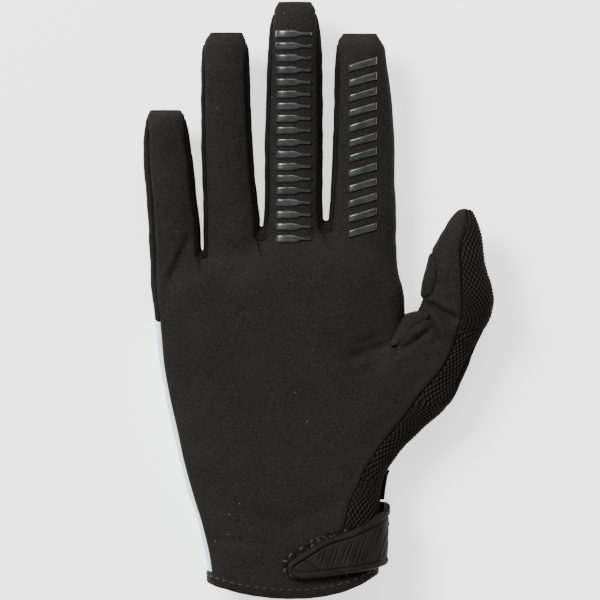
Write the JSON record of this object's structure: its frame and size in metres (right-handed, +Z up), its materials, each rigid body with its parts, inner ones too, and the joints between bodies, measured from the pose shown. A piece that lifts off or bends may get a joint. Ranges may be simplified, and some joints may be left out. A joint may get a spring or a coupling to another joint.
{
  "type": "motocross glove",
  "caption": "Right-hand motocross glove, palm up: suede palm, mesh thumb side, silicone grip bars on two fingers and a rubber wrist strap.",
  "frame": {"origin": "bottom centre of the bounding box, on the surface the glove's back rests on", "axes": "+Z up out of the palm, +Y from the cuff towards the fingertips, +X towards the thumb"},
  "size_m": [0.131, 0.2218, 0.0329],
  "materials": {
    "suede": "napped synthetic suede",
    "pale_fabric": "matte woven",
    "stretch_fabric": "matte knit",
    "air_mesh": "embossed air mesh",
    "rubber": "satin moulded",
    "binding_tape": "ribbed tape",
    "hook_tape": "hook pile",
    "silicone": "glossy print"
  },
  "bodies": {
    "root": {"palm_panel": "suede", "finger_backs": "stretch_fabric", "hand_back": "pale_fabric", "thumb_mesh": "air_mesh", "thumb_back": "stretch_fabric", "thumb_web": "suede", "thumb_side_gusset": "suede", "cuff_binding": "binding_tape", "closure_strap": "rubber", "hook_tape": "hook_tape", "cuff_tab": "stretch_fabric", "fourchette_little_ring": "stretch_fabric", "fourchette_ring_middle": "stretch_fabric", "fourchette_middle_index": "stretch_fabric", "middle_grip_01": "silicone", "middle_grip_02": "silicone", "middle_grip_03": "silicone", "middle_grip_04": "silicone", "middle_grip_05": "silicone", "middle_grip_06": "silicone", "middle_grip_07": "silicone", "middle_grip_08": "silicone", "middle_grip_09": "silicone", "middle_grip_10": "silicone", "middle_grip_11": "silicone", "middle_grip_12": "silicone", "middle_grip_13": "silicone", "middle_grip_14": "silicone", "middle_grip_15": "silicone", "middle_grip_16": "silicone", "middle_grip_17": "silicone", "middle_grip_18": "silicone", "index_grip_01": "silicone", "index_grip_02": "silicone", "index_grip_03": "silicone", "index_grip_04": "silicone", "index_grip_05": "silicone", "index_grip_06": "silicone", "index_grip_07": "silicone", "index_grip_08": "silicone", "index_grip_09": "silicone", "index_grip_10": "silicone", "index_grip_11": "silicone", "index_grip_12": "silicone"}
  },
  "joints": []
}
